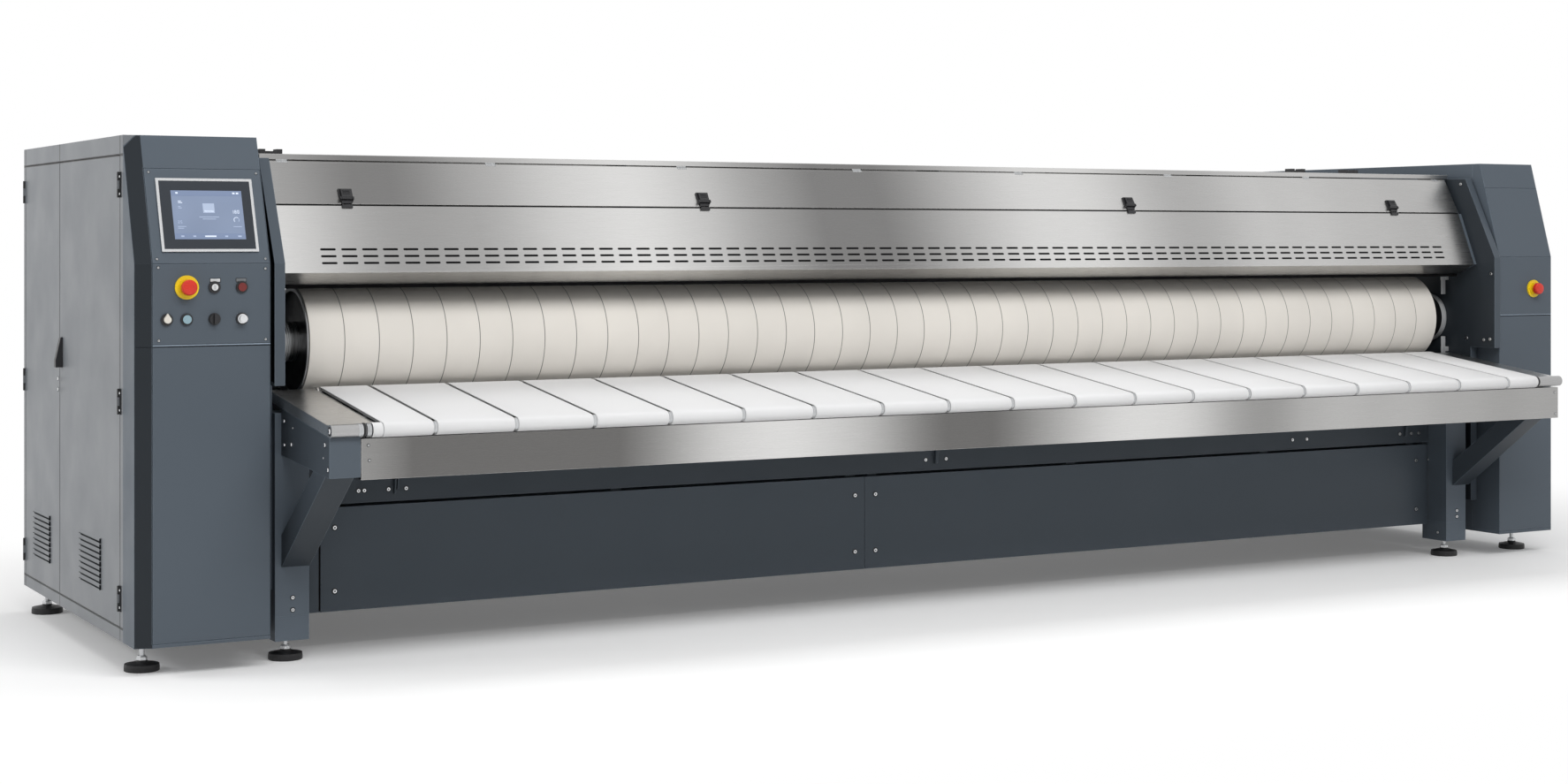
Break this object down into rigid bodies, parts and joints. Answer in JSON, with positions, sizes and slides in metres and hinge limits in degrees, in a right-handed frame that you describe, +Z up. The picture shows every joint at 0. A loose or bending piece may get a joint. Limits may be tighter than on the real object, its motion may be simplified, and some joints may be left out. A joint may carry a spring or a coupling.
{
  "type": "flatwork ironer",
  "caption": "Long flatwork ironer with a padded roll over a lifting heated chest, a belt feed table, a slotted canopy and a cabinet at each end.",
  "frame": {"origin": "on the floor, under the middle of the machine's box", "axes": "+X along the machine to the right of someone who feeds it, +Y to the rear, +Z up"},
  "size_m": [6.584, 2.135, 1.8],
  "materials": {
    "dark_paint": "satin",
    "paint": "satin",
    "door_paint": "satin",
    "machined_steel": "turned",
    "stainless": "brushed",
    "galvanised": "plain",
    "black_rubber": "matte",
    "black_steel": "semi gloss",
    "screen_glass": "gloss",
    "yellow_plastic": "gloss",
    "red_plastic": "gloss",
    "black_plastic": "matte",
    "white_plastic": "gloss",
    "blue_plastic": "gloss",
    "chrome": "polished",
    "grey_plastic": "matte",
    "gear_paint": "gloss",
    "padding": "woven",
    "belt": "plain",
    "heater": "tinted"
  },
  "bodies": {
    "frame": {"frame_legs": "dark_paint", "frame_beams": "dark_paint", "foot_spindles": "machined_steel", "foot_pads": "black_rubber", "cheek_plates": "dark_paint", "left_cabinet": "door_paint", "right_cabinet": "door_paint", "console_housings": "paint", "screen_panel": "paint", "button_panel": "paint", "cover_panels": "paint", "touch_bezel": "galvanised", "touch_glass": "screen_glass", "estop_collars": "yellow_plastic", "pilot_bezels": "black_plastic", "door_hinges": "black_steel", "mounting_plate": "galvanised", "switchgear": "grey_plastic", "gearmotors": "gear_paint", "roll_bearings": "black_steel", "lift_cylinders": "machined_steel", "feed_belts": "belt", "feed_bed": "galvanised", "table_rails": "stainless", "front_bar": "stainless", "table_arms": "dark_paint", "canopy_front": "stainless", "canopy_top": "stainless", "canopy_ribs": "dark_paint", "lid_hinge": "machined_steel", "canopy_catches": "black_plastic", "skirt_panels": "dark_paint", "delivery_slide": "stainless", "exhaust_spigot": "galvanised"},
    "roll": {"roll_core": "machined_steel", "roll_end_discs": "black_steel", "roll_padding": "padding"},
    "chest": {"chest": "machined_steel", "heating_rods": "heater", "chest_jacket": "galvanised", "chest_yokes": "dark_paint"},
    "front_roller": {"front_roller": "machined_steel"},
    "drive_roller": {"drive_roller": "machined_steel"},
    "lid": {"canopy_lid": "stainless", "latch_bases": "black_plastic"},
    "latch_lever_1": {"latch_lever_1": "black_plastic"},
    "latch_lever_2": {"latch_lever_2": "black_plastic"},
    "latch_lever_3": {"latch_lever_3": "black_plastic"},
    "latch_lever_4": {"latch_lever_4": "black_plastic"},
    "front_door": {"front_door": "door_paint"},
    "rear_door": {"rear_door": "door_paint"},
    "door_handle": {"door_handle": "black_plastic"},
    "left_estop": {"left_estop": "red_plastic"},
    "right_estop": {"right_estop": "red_plastic"},
    "red_button": {"red_button": "red_plastic"},
    "blue_button": {"blue_button": "blue_plastic"},
    "key_switch": {"key_switch": "chrome"},
    "white_knob": {"white_knob": "white_plastic"},
    "black_selector": {"black_selector": "black_plastic"},
    "speed_knob": {"speed_knob": "chrome"}
  },
  "joints": [
    {"name": "roll_spin", "type": "hinge", "parent": "frame", "child": "roll", "pos_m": [0.063, -0.2415, 1.087], "axis": [1, 0, 0], "continuous": true},
    {"name": "chest_lift", "type": "slide", "parent": "frame", "child": "chest", "axis": [0, 0, 1], "range_m": [0, 0.028]},
    {"name": "front_roller_spin", "type": "hinge", "parent": "frame", "child": "front_roller", "pos_m": [0.063, -1.0425, 0.828], "axis": [1, 0, 0], "continuous": true},
    {"name": "drive_roller_spin", "type": "hinge", "parent": "frame", "child": "drive_roller", "pos_m": [0.063, -0.4175, 0.909], "axis": [1, 0, 0], "continuous": true},
    {"name": "lid_hinge", "type": "hinge", "parent": "frame", "child": "lid", "pos_m": [0.063, -0.35461, 1.72092], "axis": [-1, 0, 0], "range_deg": [0, 80]},
    {"name": "front_door_hinge", "type": "hinge", "parent": "frame", "child": "front_door", "pos_m": [-3.2715, -0.4285, 0.95], "axis": [0, 0, 1], "range_deg": [0, 110]},
    {"name": "rear_door_hinge", "type": "hinge", "parent": "frame", "child": "rear_door", "pos_m": [-3.2715, 1.0365, 0.95], "axis": [0, 0, -1], "range_deg": [0, 110]},
    {"name": "door_handle_turn", "type": "hinge", "parent": "front_door", "child": "door_handle", "pos_m": [-3.266, 0.4215, 0.995], "axis": [1, 0, 0], "range_deg": [0, 90]},
    {"name": "latch_1", "type": "hinge", "parent": "lid", "child": "latch_lever_1", "pos_m": [-2.47891, -0.44338, 1.59483], "axis": [1, 0, 0], "range_deg": [0, 100]},
    {"name": "latch_2", "type": "hinge", "parent": "lid", "child": "latch_lever_2", "pos_m": [-1.06108, -0.44338, 1.59483], "axis": [1, 0, 0], "range_deg": [0, 100]},
    {"name": "latch_3", "type": "hinge", "parent": "lid", "child": "latch_lever_3", "pos_m": [0.97426, -0.44338, 1.59483], "axis": [1, 0, 0], "range_deg": [0, 100]},
    {"name": "latch_4", "type": "hinge", "parent": "lid", "child": "latch_lever_4", "pos_m": [2.4719, -0.44338, 1.59483], "axis": [1, 0, 0], "range_deg": [0, 100]},
    {"name": "left_estop_press", "type": "slide", "parent": "frame", "child": "left_estop", "axis": [0, 1, 0], "range_m": [0, 0.005]},
    {"name": "right_estop_press", "type": "slide", "parent": "frame", "child": "right_estop", "axis": [0, 1, 0], "range_m": [0, 0.005]},
    {"name": "red_button_press", "type": "slide", "parent": "frame", "child": "red_button", "axis": [0, 1, 0], "range_m": [0, 0.004], "stiffness_N_per_m": 500, "springref_m": -0.004},
    {"name": "blue_button_press", "type": "slide", "parent": "frame", "child": "blue_button", "axis": [0, 1, 0], "range_m": [0, 0.004], "stiffness_N_per_m": 500, "springref_m": -0.004},
    {"name": "key_switch_turn", "type": "hinge", "parent": "frame", "child": "key_switch", "pos_m": [-3.005, -0.6325, 1.291], "axis": [0, 1, 0], "range_deg": [0, 60]},
    {"name": "white_knob_turn", "type": "hinge", "parent": "frame", "child": "white_knob", "pos_m": [-3.164, -0.6325, 1.185], "axis": [0, 1, 0], "range_deg": [0, 60]},
    {"name": "black_selector_turn", "type": "hinge", "parent": "frame", "child": "black_selector", "pos_m": [-3.005, -0.6325, 1.185], "axis": [0, 1, 0], "range_deg": [0, 90]},
    {"name": "speed_knob_turn", "type": "hinge", "parent": "frame", "child": "speed_knob", "pos_m": [-2.912, -0.6325, 1.185], "axis": [0, 1, 0], "range_deg": [0, 270]}
  ],
  "couplings": [
    {"joint": "front_roller_spin", "follows": "roll_spin", "ratio": -8.4567},
    {"joint": "drive_roller_spin", "follows": "roll_spin", "ratio": -8.4567}
  ]
}
